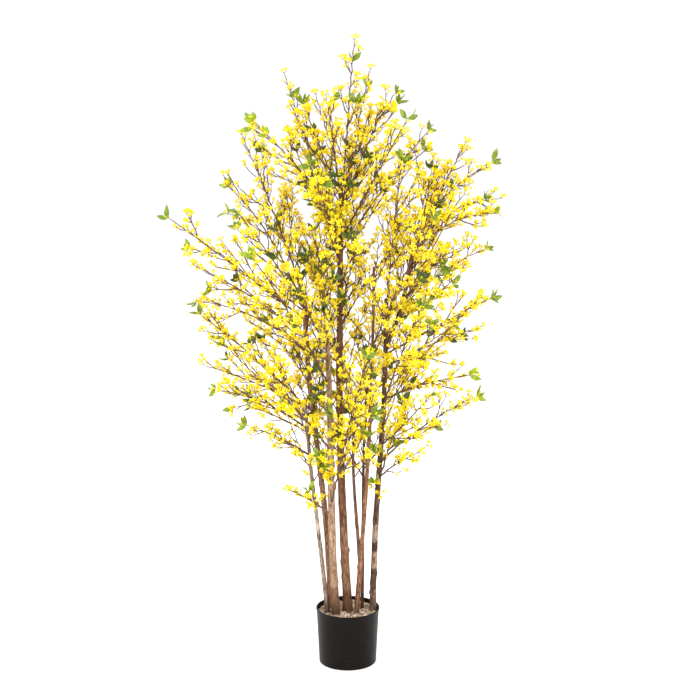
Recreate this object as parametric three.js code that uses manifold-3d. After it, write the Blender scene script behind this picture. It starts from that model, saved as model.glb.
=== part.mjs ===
// An artificial forsythia: seven natural wood stems cast into a black nursery pot, two boughs,
// and flowering sprays plugged into the wood. Millimetres, +Z up, origin under the pot's centre,
// -Y towards the viewer.
import * as THREE from "three";
import { mergeGeometries, mergeVertices } from "three/addons/utils/BufferGeometryUtils.js";
import Module from "manifold-3d";

const wasm = await Module();
wasm.setup();

// ---- driving dimensions ----------------------------------------------------------------------

const pot = {
  height: 163,
  rimRadius: 93,
  footRadius: 83.5,
  wall: 2.6,
  lip: 1.6, // how far the rolled lip stands out
  lipHeight: 5,
  floor: 4,
  sides: 32,
};
const fillDepth = 14; // from the rim down to the gravel
const ground = pot.height - fillDepth; // where the stems are cut flat
const gap = 0.3; // between pieces that touch

// Each stem leans from its foot to its top, bows sideways by `bow` half way up, and sways by
// `sway` to one side below that and to the other above.
const stems = {
  stem_main: { foot: [1, -4], top: [-15, 6, 1360], bow: [-16, 4], sway: 0, radius: [13.2, 6.4] },
  stem_pale: { foot: [-34, -24], top: [-60, -62, 1003], bow: [0, -8], sway: -3, radius: [12, 7.2] },
  stem_brown: { foot: [-51, 24], top: [-125, 62, 1080], bow: [1, 10], sway: 7, radius: [9, 6.8] },
  stem_grey: { foot: [-59, -14], top: [-121, -30, 790], bow: [-2, -12], sway: 2, radius: [6.6, 4.8] },
  stem_forked: { foot: [25, -14], top: [72, -66, 1165], bow: [11, -6], sway: -1, radius: [7.6, 3.4] },
  stem_dark: { foot: [42, 14], top: [60, 78, 850], bow: [-6, 6], sway: 2, radius: [4.8, 3.6] },
  stem_right: { foot: [73, 4], top: [110, 30, 1066], bow: [2, 6], sway: -4, radius: [9.4, 6] },
};
const flare = { share: 0.14, height: 0.04 }; // a stem's foot is this much stouter, dying away upwards
const rooted = 6; // how far a stem's line runs down past its flat cut

// A bough leaves its stem at height `from` and ends at `top`.
const boughs = {
  bough_fork: {
    stem: "stem_forked",
    from: 292,
    top: [21, -52, 765],
    bow: [-10, 4],
    sway: 2,
    radius: [5.6, 3.6],
  },
  bough_right: {
    stem: "stem_right",
    from: 925,
    top: [257, 40, 1345],
    bow: [-7, 6],
    sway: 9,
    radius: [5.6, 3.4],
  },
};

// The sprays that draw the crown's outline: the limb that each is plugged into, the height of its
// foot there and its tip; then its arch and how far its twigs spread, as a share of the usual, where
// they aren't the usual ones.
const outline = {
  spray_left_01: ["stem_pale", 452, [-175, -118, 556]],
  spray_left_02: ["stem_grey", 625, [-318, 90, 697]],
  spray_left_03: ["stem_grey", 700, [-382, -150, 846], 0.07],
  spray_left_04: ["stem_brown", 735, [-449, 150, 864]],
  spray_left_05: ["stem_grey", 765, [-428, -60, 1048]],
  spray_left_06: ["stem_brown", 905, [-476, 230, 1046], 0.08],
  spray_left_07: ["stem_brown", 955, [-438, -110, 1186]],
  spray_left_08: ["stem_brown", 1000, [-524, 24, 1310], 0.01],
  spray_left_09: ["stem_brown", 1035, [-371, 290, 1395], 0.09],
  spray_left_10: ["stem_pale", 940, [-288, -300, 1337]],
  spray_left_11: ["stem_brown", 1066, [-307, 60, 1550]],
  spray_left_12: ["stem_brown", 690, [-413, 300, 927], -0.02],
  spray_top_01: ["stem_main", 1285, [-266, -150, 1576]],
  spray_top_02: ["stem_main", 1170, [-185, 90, 1718], 0.03, 0.4],
  spray_top_03: ["stem_main", 1318, [-60, -140, 1649]],
  spray_top_04: ["stem_main", 1352, [20, 10, 1803], 0.03, 0.6],
  spray_top_05: ["stem_main", 1334, [69, 140, 1732], 0.03, 0.45],
  spray_top_06: ["stem_main", 1300, [140, -40, 1658], 0.09],
  spray_top_07: ["stem_main", 1235, [165, -220, 1581], 0],
  spray_top_08: ["stem_main", 1200, [250, 210, 1560]],
  spray_right_01: ["bough_right", 1318, [328, -90, 1522]],
  spray_right_02: ["bough_right", 1332, [434, 130, 1467]],
  spray_right_03: ["bough_right", 1262, [443, -40, 1360], 0.08],
  spray_right_04: ["bough_right", 1040, [428, 220, 1207], 0.05],
  spray_right_05: ["stem_right", 905, [402, -170, 1099], 0.01],
  spray_right_06: ["stem_right", 868, [408, 90, 986]],
  spray_right_07: ["stem_right", 775, [347, -190, 889]],
  spray_right_08: ["stem_right", 590, [396, 80, 789], 0.05],
  spray_right_09: ["stem_right", 545, [213, -110, 663]],
  spray_right_10: ["bough_right", 1200, [395, -260, 1327], 0.08],
  spray_right_11: ["bough_right", 1000, [304, -290, 1177], -0.02],
  spray_right_12: ["stem_right", 640, [232, -250, 854], -0.02],
};

// The sprays in front of the stems, told in the same way.
const front = {
  spray_front_01: ["stem_right", 1040, [143, -200, 1479]],
  spray_front_02: ["stem_right", 760, [198, -350, 1106]],
  spray_front_03: ["stem_pale", 540, [-79, -250, 685]],
  spray_front_04: ["stem_pale", 640, [-221, -330, 908]],
  spray_front_05: ["stem_pale", 830, [-251, -360, 1234]],
  spray_front_06: ["stem_main", 1180, [-101, -290, 1458]],
  spray_front_07: ["stem_pale", 985, [-91, -130, 1293]],
  spray_front_08: ["stem_main", 1000, [33, -150, 1267]],
};

// The sprays that fill the rest of the crown, mostly its back: of many that could grow, the one with
// the most room is taken each time.
const crown = { middle: 1080, above: 710, below: 560, radius: 440, depth: 0.92 };
const filling = {
  count: 9,
  tries: 60,
  seed: 231,
  lowestFoot: 440,
  aboveFoot: 100, // a spray's foot stays this far above its limb's foot
  belowTop: 14, // and this far below its limb's cut top
  reach: [150, 390],
  rise: [0.7, 1.5], // over the reach
  passing: 12, // from another limb or spray that it grows past
  felt: [[0.6, 1.3], [1, 1]], // where the room is felt for, and how much it counts
};

// What grows on a spray.
const growth = {
  stemRadius: [4.8, 2.3],
  footShare: 0.85, // a spray's foot is no stouter than this share of its limb
  steps: 4,
  arch: 0.03, // how far a spray usually arches over its chord, as a share of its length
  twigEvery: 99,
  twigs: [4, 6],
  firstTwig: 0.24,
  lastTwig: 0.84,
  twigAngle: 42, // degrees off the spray
  twigRise: 0.1,
  twigLength: [0.36, 0.12], // shares of the spray's length, from its foot to its tip
  cutBack: [1, 0.7, 0.45], // a twig that leaves the spray's own space is tried shorter
  twigRadius: [1.9, 1.3],
  starCover: 2, // how deep a stalk's tip sits in its blossom
  leafCover: 6, // and in the leaf at a spray's tip
  starRadius: 42,
  starHeight: 14,
  starWaist: 0.46,
  bellRadius: 29,
  bellHeight: 28,
  leafLength: 64,
  leafWidth: 35,
  leafThickness: 4,
  sideAngle: 55, // of a blossom or leaf on a stalk's side
  spacing: 44.5, // between the middles of two blossoms or leaves
  margin: 1.2, // between a spray's space and its neighbours'
};

const colours = {
  pot: [0x15130f, 0.42],
  gravel: [0xb9aa92, 0.95],
  darkWood: [0x6b4a34, 0.85],
  paleWood: [0xa68b72, 0.88],
  blossom: [0xffd90a, 0.6],
};
const paleStems = ["stem_pale", "stem_grey", "stem_right"];

// ---- small tools -----------------------------------------------------------------------------

const radians = THREE.MathUtils.degToRad;
const lerp = THREE.MathUtils.lerp;
const vector = (x, y, z) => new THREE.Vector3(x, y, z);

// A seeded row of numbers from 0 to 1, so that every build grows the same plant.
function seeded(seed) {
  let state = (seed * 7919 + 12345) % 2147483647;
  return () => (state = (state * 16807) % 2147483647) / 2147483647;
}

// The closed solid of a three.js geometry.
function solidOf(geometry) {
  const bare = geometry.clone();
  bare.deleteAttribute("normal");
  bare.deleteAttribute("uv");
  const merged = mergeVertices(bare, 1e-4);
  return new wasm.Manifold(
    new wasm.Mesh({
      numProp: 3,
      vertProperties: merged.attributes.position.array,
      triVerts: new Uint32Array(merged.index.array),
    }),
  );
}

// A solid's outer shell alone: a hollow that joining has sealed is filled, a loose scrap dropped.
function outerShell(solid) {
  return solid.decompose().reduce((best, part) => (part.volume() > best.volume() ? part : best));
}

// The geometry of a solid, for a THREE.Mesh.
function geometryOf(solid) {
  const { vertProperties, triVerts } = solid.getMesh();
  const geometry = new THREE.BufferGeometry();
  geometry.setAttribute("position", new THREE.BufferAttribute(vertProperties, 3));
  geometry.setIndex(new THREE.BufferAttribute(triVerts, 1));
  geometry.computeVertexNormals();
  return geometry;
}

// The directions along and across a curve. A steep curve is squared up to +Y, any other to +Z.
function frameAt(curve, t) {
  const chord = curve.getPoint(1).sub(curve.getPoint(0)).normalize();
  const up = chord.z > 0.9 ? vector(0, 1, 0) : vector(0, 0, 1);
  const along = curve.getTangent(t);
  const across = up.cross(along).normalize();
  return { along, across, over: along.clone().cross(across) };
}

// The direction that leaves a curve at `angle` from it, turned by `turn` about it.
function leaving(curve, t, angle, turn) {
  const { along, across, over } = frameAt(curve, t);
  return along
    .multiplyScalar(Math.cos(angle))
    .addScaledVector(across, Math.sin(angle) * Math.cos(turn))
    .addScaledVector(over, Math.sin(angle) * Math.sin(turn));
}

// A tapering limb: a straight prism whose rings are moved onto a curve.
function limb(curve, radiusAt, sides, steps) {
  const corners = [...Array(sides).keys()].map((i) => {
    const a = (2 * Math.PI * i) / sides;
    return new THREE.Vector2(Math.cos(a), Math.sin(a));
  });
  const prism = new THREE.ExtrudeGeometry(new THREE.Shape(corners), {
    depth: 1,
    steps,
    bevelEnabled: false,
  });
  const position = prism.getAttribute("position");
  for (let i = 0; i < position.count; i++) {
    const t = position.getZ(i);
    const { across, over } = frameAt(curve, t);
    const point = curve
      .getPoint(t)
      .addScaledVector(across, position.getX(i) * radiusAt(t))
      .addScaledVector(over, position.getY(i) * radiusAt(t));
    position.setXYZ(i, point.x, point.y, point.z);
  }
  return solidOf(prism);
}

// A geometry whose +Y axis is turned to `direction`, rolled about it, and set down at `place`.
function placed(geometry, place, direction, roll) {
  const turn = new THREE.Quaternion().setFromUnitVectors(vector(0, 1, 0), direction);
  const spin = new THREE.Quaternion().setFromAxisAngle(vector(0, 1, 0), roll);
  const matrix = new THREE.Matrix4().compose(place, turn.multiply(spin), vector(1, 1, 1));
  return geometry.clone().applyMatrix4(matrix);
}

// ---- pot and fill ----------------------------------------------------------------------------

function turned(profile) {
  const points = profile.map(([r, z]) => new THREE.Vector2(r, z));
  return solidOf(new THREE.LatheGeometry(points, pot.sides).rotateX(Math.PI / 2));
}

function potSolid() {
  const { height, rimRadius, footRadius, wall, lip, lipHeight, floor } = pot;
  return turned([
    [0, 0],
    [footRadius, 0],
    [rimRadius - lip, height - lipHeight],
    [rimRadius, height - lipHeight + 1],
    [rimRadius, height],
    [rimRadius - lip - wall, height],
    [footRadius - wall, floor],
    [0, floor],
  ]);
}

// The fill, with its top `raised` above the ground.
function fillSolid(raised = 0) {
  const slope = (pot.rimRadius - pot.lip - pot.footRadius) / (pot.height - pot.floor);
  const inside = (z) => pot.footRadius - pot.wall + slope * (z - pot.floor) - 2 * gap;
  return turned([
    [0, pot.floor + gap],
    [inside(pot.floor), pot.floor + gap],
    [inside(ground), ground + raised],
    [0, ground + raised],
  ]);
}

// ---- wood ------------------------------------------------------------------------------------

// The line of a stem or bough.
class WoodLine extends THREE.Curve {
  constructor(start, end, bow, sway) {
    super();
    this.start = start;
    this.end = end;
    this.bow = vector(...bow, 0);
    this.sway = vector(sway, 0, 0);
  }

  getPoint(t, point = new THREE.Vector3()) {
    return point
      .copy(this.start)
      .lerp(this.end, t)
      .addScaledVector(this.bow, Math.sin(Math.PI * t))
      .addScaledVector(this.sway, Math.sin(2 * Math.PI * t));
  }

  // The point at a height: only the straight part rises.
  atHeight(z) {
    return this.getPoint((z - this.start.z) / (this.end.z - this.start.z));
  }
}

const limbs = {};
for (const [name, { foot, top, bow, sway, radius }] of Object.entries(stems)) {
  const line = new WoodLine(vector(...foot, ground - rooted), vector(...top), bow, sway);
  limbs[name] = { line, radius, sides: 8, steps: 7, flare: flare.share };
}
for (const [name, { stem, from, top, bow, sway, radius }] of Object.entries(boughs)) {
  const line = new WoodLine(limbs[stem].line.atHeight(from), vector(...top), bow, sway);
  limbs[name] = { line, radius, sides: 6, steps: 5, flare: 0, parent: stem };
}

// A limb's radius: an even taper, with a stem's foot a little stouter.
function radiusAlong(spec, t) {
  return lerp(spec.radius[0], spec.radius[1], t) * (1 + spec.flare * Math.exp(-t / flare.height));
}

function woodSolid(spec, grown = 0) {
  return limb(spec.line, (t) => radiusAlong(spec, t) + grown, spec.sides, spec.steps);
}

// ---- where the sprays go ---------------------------------------------------------------------

// A spray's line, arched over its chord: from its limb's axis to the root of the leaf at its tip.
function sprayLine(limbName, foot, tip, arch = growth.arch) {
  const start = limbs[limbName].line.atHeight(foot);
  const end = tip.clone();
  const length = start.distanceTo(end);
  end.lerp(start, (growth.leafLength - growth.leafCover) / length);
  const control = start.clone().lerp(end, 0.5);
  control.z += 2 * arch * length;
  return new THREE.QuadraticBezierCurve3(start, control, end);
}

const sprays = [];
function addSpray(name, limbName, foot, tip, arch, spread = 1) {
  const line = sprayLine(limbName, foot, tip, arch);
  const { start, end } = limbs[limbName].line;
  const socket = radiusAlong(limbs[limbName], (foot - start.z) / (end.z - start.z));
  const radius = [Math.min(growth.stemRadius[0], growth.footShare * socket), growth.stemRadius[1]];
  const points = line.getPoints(8);
  sprays.push({ name, limbName, line, radius, points, spread, seed: sprays.length + 1 });
}

// How far a point is from a chain of points.
const nearest = new THREE.Vector3();
const segment = new THREE.Line3();
function distanceTo(points, p) {
  let least = Infinity;
  for (let i = 1; i < points.length; i++) {
    segment.set(points[i - 1], points[i]).closestPointToPoint(p, true, nearest);
    least = Math.min(least, nearest.distanceTo(p));
  }
  return least;
}

const wood = Object.entries(limbs).map(([name, spec]) => ({
  name,
  points: spec.line.getPoints(16),
  reach: spec.radius[0] + 3,
}));

// The crown's radius at a height.
function crownRadius(z) {
  const share = (z - crown.middle) / (z > crown.middle ? crown.above : crown.below);
  return crown.radius * Math.sqrt(Math.max(0, 1 - share * share));
}

// One way that a further spray could grow: out of any limb, at any height, to any side.
function candidate(random) {
  const names = Object.keys(limbs);
  const limbName = names[Math.floor(names.length * random())];
  const { line } = limbs[limbName];
  const lowest = Math.max(filling.lowestFoot, line.start.z + filling.aboveFoot);
  const foot = lerp(lowest, line.end.z - filling.belowTop, random());
  const azimuth = 2 * Math.PI * random();
  const reach = lerp(...filling.reach, random());
  const rise = reach * lerp(...filling.rise, random());
  const tip = line.atHeight(foot).add(vector(reach * Math.cos(azimuth), reach * Math.sin(azimuth), rise));
  return { limbName, foot, tip };
}

// How much room a candidate would have: its distance from the sprays that are there already, and
// none outside the crown or where it would brush past another limb or spray.
function room({ limbName, foot, tip }) {
  if (Math.hypot(tip.x, tip.y / crown.depth) > crownRadius(tip.z)) return 0;
  const line = sprayLine(limbName, foot, tip);
  const toSprays = (p) => Math.min(...sprays.map(({ points }) => distanceTo(points, p)));
  const others = wood.filter(({ name }) => name !== limbName);
  const brushes = line.getPoints(12).some((p) => {
    return (
      toSprays(p) < filling.passing ||
      others.some(({ points, reach }) => distanceTo(points, p) < reach + filling.passing)
    );
  });
  if (brushes) return 0;
  return Math.min(...filling.felt.map(([t, weight]) => toSprays(line.getPoint(t)) * weight));
}

for (const [name, [limbName, foot, tip, ...shape]] of Object.entries({ ...outline, ...front })) {
  addSpray(name, limbName, foot, vector(...tip), ...shape);
}
const chance = seeded(filling.seed);
for (let i = 1; i <= filling.count; i++) {
  const tries = [...Array(filling.tries)].map(() => candidate(chance));
  const rooms = tries.map(room);
  const { limbName, foot, tip } = tries[rooms.indexOf(Math.max(...rooms))];
  addSpray(`spray_inner_${String(i).padStart(2, "0")}`, limbName, foot, tip);
}

// True if points with `girth` round them are in the spray's own space: nearer to its line than to
// any other spray's, and clear of the wood.
function inOwnSpace(spray, points, girth = 0) {
  const between = points.flatMap((p, i) => points.slice(i + 1).map((q) => p.clone().lerp(q, 0.5)));
  const clearOfWood = (p) => wood.every((limb) => distanceTo(limb.points, p) > limb.reach + girth);
  const clearOfSprays = (p) => {
    const needed = distanceTo(spray.points, p) + growth.margin + 2 * girth;
    return sprays.every((other) => other === spray || distanceTo(other.points, p) > needed);
  };
  return points.every(clearOfSprays) && [...points, ...between].every(clearOfWood);
}

// ---- what grows on them ----------------------------------------------------------------------

// A four-petalled blossom seen as a star, its flat back towards -Y: eight sides and a cap.
function starShape() {
  const { starRadius, starHeight, starWaist } = growth;
  const rim = [...Array(8).keys()].map((i) => {
    const r = i % 2 ? starRadius * starWaist : starRadius;
    return new THREE.Vector2(r * Math.sin((i * Math.PI) / 4), r * Math.cos((i * Math.PI) / 4));
  });
  const sides = new THREE.ConeGeometry(1, starHeight, 8, 1, true).translate(0, starHeight / 2, 0);
  const position = sides.getAttribute("position");
  for (let i = 0; i < position.count; i++) {
    if (position.getY(i) > 0) continue;
    const turn = Math.atan2(position.getX(i), position.getZ(i)) / (Math.PI / 4);
    const corner = rim[(Math.round(turn) + 8) % 8];
    position.setXYZ(i, corner.x, 0, corner.y);
  }
  const back = new THREE.ShapeGeometry(new THREE.Shape(rim)).rotateX(Math.PI / 2);
  return mergeGeometries([sides, back]);
}

// A blossom seen from the side: a four-cornered bell whose point is its root.
function bellShape() {
  const { bellRadius, bellHeight } = growth;
  const bell = new THREE.ConeGeometry(bellRadius, bellHeight, 4, 1);
  return bell.rotateX(Math.PI).translate(0, bellHeight / 2, 0);
}

// A leaf of eight faces with its root at the origin.
function leafShape() {
  const { leafLength, leafWidth, leafThickness } = growth;
  const leaf = new THREE.OctahedronGeometry(1);
  return leaf.scale(leafWidth / 2, leafLength / 2, leafThickness / 2).translate(0, leafLength / 2, 0);
}

const star = starShape();
const bell = bellShape();
const leaf = leafShape();

// A three-sided stalk along a curve.
function stalk(curve, [footRadius, tipRadius], steps) {
  return limb(curve, (t) => lerp(footRadius, tipRadius, t), 3, steps);
}

// The point on a stalk's axis: its rings are joined by straight pieces.
function onStalk(curve, steps, t) {
  const ring = Math.min(Math.floor(t * steps), steps - 1);
  return curve.getPoint(ring / steps).lerp(curve.getPoint((ring + 1) / steps), t * steps - ring);
}

// The turn about a stalk that faces one of its three sides.
const towards = (side) => radians(60 + 120 * side);

// A straight twig that rises a little over its length.
function twigLine(start, direction, length) {
  const end = start.clone().addScaledVector(direction, length);
  end.z += growth.twigRise * length;
  return new THREE.LineCurve3(start, end);
}

function corners(geometry) {
  const position = geometry.getAttribute("position");
  return [...Array(position.count).keys()].map((i) => vector().fromBufferAttribute(position, i));
}

// A spray: its stem, and the twigs, blossoms and leaves that fit in its own space. The twigs of a
// slender spray end in bells.
function spraySolid(spray) {
  const { line, spread, seed } = spray;
  const length = line.getLength();
  const random = seeded(seed);
  const rolls = seeded(seed + 1000);
  const pieces = [stalk(line, spray.radius, growth.steps)];
  const centres = [];

  const add = (shape, place, direction) => {
    const geometry = placed(shape, place, direction, 2 * Math.PI * rolls());
    const points = corners(geometry);
    const centre = new THREE.Box3().setFromPoints(points).getCenter(vector());
    if (centres.some((other) => other.distanceTo(centre) < growth.spacing)) return;
    if (!inOwnSpace(spray, points)) return;
    centres.push(centre);
    pieces.push(solidOf(geometry));
  };
  const addTip = (shape, curve, cover) => {
    const { along } = frameAt(curve, 1);
    add(shape, curve.getPoint(1).addScaledVector(along, -cover), along);
  };
  const addSide = (shape, curve, steps, t, side) => {
    const direction = leaving(curve, t, radians(growth.sideAngle), towards(side));
    add(shape, onStalk(curve, steps, t), direction);
  };

  addTip(leaf, line, growth.leafCover);
  const count = THREE.MathUtils.clamp(Math.round(length / growth.twigEvery), ...growth.twigs);
  for (let i = 0; i < count; i++) {
    const t = lerp(growth.firstTwig, growth.lastTwig, i / (count - 1));
    const side = i + seed;
    const start = onStalk(line, growth.steps, t);
    const angle = radians(growth.twigAngle) * lerp(0.85, 1.15, random());
    const full = spread * length * lerp(...growth.twigLength, t) * lerp(0.8, 1.2, random());
    const direction = leaving(line, t, angle, towards(side));
    const twig = growth.cutBack
      .map((share) => twigLine(start, direction, share * full))
      .find((tried) => inOwnSpace(spray, tried.getPoints(4).slice(1), growth.twigRadius[0]));
    if (twig) {
      pieces.push(stalk(twig, growth.twigRadius, 1));
      addTip(spread < 1 ? bell : star, twig, growth.starCover);
      addSide(i % 3 === 1 ? leaf : bell, twig, 1, 0.5, side + 1);
      addSide(bell, twig, 1, 0.78, side);
    }
    addSide(bell, line, growth.steps, t + (0.5 * (growth.lastTwig - growth.firstTwig)) / count, side + 1);
  }
  return pieces.reduce((whole, piece) => whole.add(piece));
}

// ---- the plant -------------------------------------------------------------------------------

const plant = new THREE.Group();

function addMesh(name, solid, [color, roughness]) {
  const material = new THREE.MeshStandardMaterial({ color, roughness, metalness: 0 });
  const mesh = new THREE.Mesh(geometryOf(solid), material);
  mesh.name = name;
  plant.add(mesh);
}

addMesh("pot", potSolid(), colours.pot);
addMesh("gravel_fill", fillSolid(), colours.gravel);
for (const [name, spec] of Object.entries(limbs)) {
  const seat = spec.parent ? woodSolid(limbs[spec.parent], gap) : fillSolid(gap);
  const look = paleStems.includes(name) ? colours.paleWood : colours.darkWood;
  addMesh(name, outerShell(woodSolid(spec).subtract(seat)), look);
}
for (const spray of sprays) {
  const socket = woodSolid(limbs[spray.limbName], gap);
  addMesh(spray.name, outerShell(spraySolid(spray).subtract(socket)), colours.blossom);
}

export default plant;
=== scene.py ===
"""An artificial forsythia in a black nursery pot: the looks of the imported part.

The plant is grown in millimetres by the rule of the part's source and carried on to finer twigs,
blossoms and leaves. Every mesh is written in metres. +Z is up, -Y is towards the viewer, and the
origin is under the middle of the pot.
"""

import math
from functools import partial

import bpy
import numpy as np
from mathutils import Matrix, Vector, noise


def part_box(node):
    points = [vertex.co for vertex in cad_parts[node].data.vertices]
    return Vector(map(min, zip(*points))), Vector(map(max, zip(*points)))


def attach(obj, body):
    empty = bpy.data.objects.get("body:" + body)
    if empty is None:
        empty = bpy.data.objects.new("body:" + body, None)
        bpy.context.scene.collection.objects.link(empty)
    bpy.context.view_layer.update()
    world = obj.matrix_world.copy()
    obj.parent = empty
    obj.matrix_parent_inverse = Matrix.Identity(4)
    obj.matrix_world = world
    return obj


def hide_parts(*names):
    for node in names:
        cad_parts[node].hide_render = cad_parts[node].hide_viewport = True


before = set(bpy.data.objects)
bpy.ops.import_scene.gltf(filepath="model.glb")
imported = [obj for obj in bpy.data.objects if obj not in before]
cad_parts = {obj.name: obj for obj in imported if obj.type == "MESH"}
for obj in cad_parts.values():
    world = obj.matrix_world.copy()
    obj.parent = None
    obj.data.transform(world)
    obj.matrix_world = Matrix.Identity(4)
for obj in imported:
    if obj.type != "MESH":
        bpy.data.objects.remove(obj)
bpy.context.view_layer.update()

MM = 0.001
LENGTH_STEPS = 200
LIMB_STEPS = 16
SPRAY_STEPS = 8
PATH_STEPS = 12
STEEP = 0.9


# ---- the plant's driving dimensions, as in the part's source (mm, degrees) ----

POT_HIGH = np.array(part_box("pot"))[1] / MM
FILL_HIGH = np.array(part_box("gravel_fill"))[1] / MM
RIM_RADIUS = POT_HIGH[0]
RIM_HEIGHT = POT_HIGH[2]
GROUND = FILL_HIGH[2]
ROOTED = 6
FLARE_SHARE = 0.14
FLARE_HEIGHT = 0.04
CLEAR_OF_WOOD = 3

STEMS = {
    "stem_main": dict(foot=(1, -4), top=(-15, 6, 1360), bow=(-16, 4), sway=0, radius=(13.2, 6.4)),
    "stem_pale": dict(foot=(-34, -24), top=(-60, -62, 1003), bow=(0, -8), sway=-3, radius=(12, 7.2)),
    "stem_brown": dict(foot=(-51, 24), top=(-125, 62, 1080), bow=(1, 10), sway=7, radius=(9, 6.8)),
    "stem_grey": dict(foot=(-59, -14), top=(-121, -30, 790), bow=(-2, -12), sway=2, radius=(6.6, 4.8)),
    "stem_forked": dict(foot=(25, -14), top=(72, -66, 1165), bow=(11, -6), sway=-1, radius=(7.6, 3.4)),
    "stem_dark": dict(foot=(42, 14), top=(60, 78, 850), bow=(-6, 6), sway=2, radius=(4.8, 3.6)),
    "stem_right": dict(foot=(73, 4), top=(110, 30, 1066), bow=(2, 6), sway=-4, radius=(9.4, 6)),
}
BOUGHS = {
    "bough_fork": dict(
        stem="stem_forked", rises=292, top=(21, -52, 765), bow=(-10, 4), sway=2, radius=(5.6, 3.6)
    ),
    "bough_right": dict(
        stem="stem_right", rises=925, top=(257, 40, 1345), bow=(-7, 6), sway=9, radius=(5.6, 3.4)
    ),
}
# The sprays: limb, height of the foot, tip, and for some the arch and the spread.
LEFT = (
    ("stem_pale", 452, (-175, -118, 556)),
    ("stem_grey", 625, (-318, 90, 697)),
    ("stem_grey", 700, (-382, -150, 846), 0.07),
    ("stem_brown", 735, (-449, 150, 864)),
    ("stem_grey", 765, (-428, -60, 1048)),
    ("stem_brown", 905, (-476, 230, 1046), 0.08),
    ("stem_brown", 955, (-438, -110, 1186)),
    ("stem_brown", 1000, (-524, 24, 1310), 0.01),
    ("stem_brown", 1035, (-371, 290, 1395), 0.09),
    ("stem_pale", 940, (-288, -300, 1337)),
    ("stem_brown", 1066, (-307, 60, 1550)),
    ("stem_brown", 690, (-413, 300, 927), -0.02),
)
TOP = (
    ("stem_main", 1285, (-266, -150, 1576)),
    ("stem_main", 1170, (-185, 90, 1718), 0.03, 0.4),
    ("stem_main", 1318, (-60, -140, 1649)),
    ("stem_main", 1352, (20, 10, 1803), 0.03, 0.6),
    ("stem_main", 1334, (69, 140, 1732), 0.03, 0.45),
    ("stem_main", 1300, (140, -40, 1658), 0.09),
    ("stem_main", 1235, (165, -220, 1581), 0),
    ("stem_main", 1200, (250, 210, 1560)),
)
RIGHT = (
    ("bough_right", 1318, (328, -90, 1522)),
    ("bough_right", 1332, (434, 130, 1467)),
    ("bough_right", 1262, (443, -40, 1360), 0.08),
    ("bough_right", 1040, (428, 220, 1207), 0.05),
    ("stem_right", 905, (402, -170, 1099), 0.01),
    ("stem_right", 868, (408, 90, 986)),
    ("stem_right", 775, (347, -190, 889)),
    ("stem_right", 590, (396, 80, 789), 0.05),
    ("stem_right", 545, (213, -110, 663)),
    ("bough_right", 1200, (395, -260, 1327), 0.08),
    ("bough_right", 1000, (304, -290, 1177), -0.02),
    ("stem_right", 640, (232, -250, 854), -0.02),
)
FRONT = (
    ("stem_right", 1040, (143, -200, 1479)),
    ("stem_right", 760, (198, -350, 1106)),
    ("stem_pale", 540, (-79, -250, 685)),
    ("stem_pale", 640, (-221, -330, 908)),
    ("stem_pale", 830, (-251, -360, 1234)),
    ("stem_main", 1180, (-101, -290, 1458)),
    ("stem_pale", 985, (-91, -130, 1293)),
    ("stem_main", 1000, (33, -150, 1267)),
)
CROWN = dict(middle=1080, above=710, below=560, radius=440, depth=0.92)
FILLING = dict(
    count=9,
    tries=60,
    seed=231,
    lowest_foot=440,
    above_foot=100,
    below_top=14,
    reach=(150, 390),
    rise=(0.7, 1.5),
    passing=12,
    felt=((0.6, 1.3), (1, 1)),
)
GROWTH = dict(
    arch=0.03,
    twig_every=99,
    twigs=(4, 6),
    first_twig=0.24,
    last_twig=0.84,
    twig_angle=42,
    twig_rise=0.1,
    twig_length=(0.36, 0.12),
    cut_back=(1, 0.7, 0.45),
    twig_radius=1.9,
    tip_leaf=58,
    margin=1.2,
)

# What this script carries on to.
FINE = dict(
    stem_radius=(2.9, 1.0),
    twig_radius=(1.75, 1.0),
    twiglet_radius=(1.4, 0.9),
    node_every=17,
    zigzag=1.7,
    bare_foot=0.16,
    twiglet_every=48,
    twiglet_angle=34,
    twiglet_length=(34, 78),
    filler_cuts=(1, 0.75, 0.5, 0.35),
    limb_twig_lowest=530,
    full_middle=-25,
    full_radius=385,
    full_height=640,
    fullness=0.9,
    leafy_node=0.007,
)


# ---- curves ----


def unit(v):
    return v / np.linalg.norm(v, axis=-1, keepdims=True)


def lerp(a, b, t):
    return a + (b - a) * t


def seeded(seed):
    """The source's row of numbers from 0 to 1."""
    state = (seed * 7919 + 12345) % 2147483647
    while True:
        state = state * 16807 % 2147483647
        yield state / 2147483647


def aside(across, over, turn):
    """The direction at a turn between two that are square to each other."""
    return across * math.cos(turn) + over * math.sin(turn)


class Curve:
    """A line from 0 to 1; a class that builds on it says where its points are."""

    def tangent(self, t):
        return unit(self.point(min(t + 1e-4, 1)) - self.point(max(t - 1e-4, 0)))

    def points(self, steps):
        return np.array([self.point(i / steps) for i in range(steps + 1)])

    def length(self):
        return np.linalg.norm(np.diff(self.points(LENGTH_STEPS), axis=0), axis=1).sum()

    def frame(self, t):
        """Along and across: a steep curve is squared up to +Y, any other to +Z."""
        chord = unit(self.point(1) - self.point(0))
        up = np.array((0, 1, 0) if chord[2] > STEEP else (0, 0, 1))
        along = self.tangent(t)
        across = unit(np.cross(up, along))
        return along, across, np.cross(along, across)

    def leaving(self, t, angle, turn):
        along, across, over = self.frame(t)
        return along * math.cos(angle) + aside(across, over, turn) * math.sin(angle)


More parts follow.
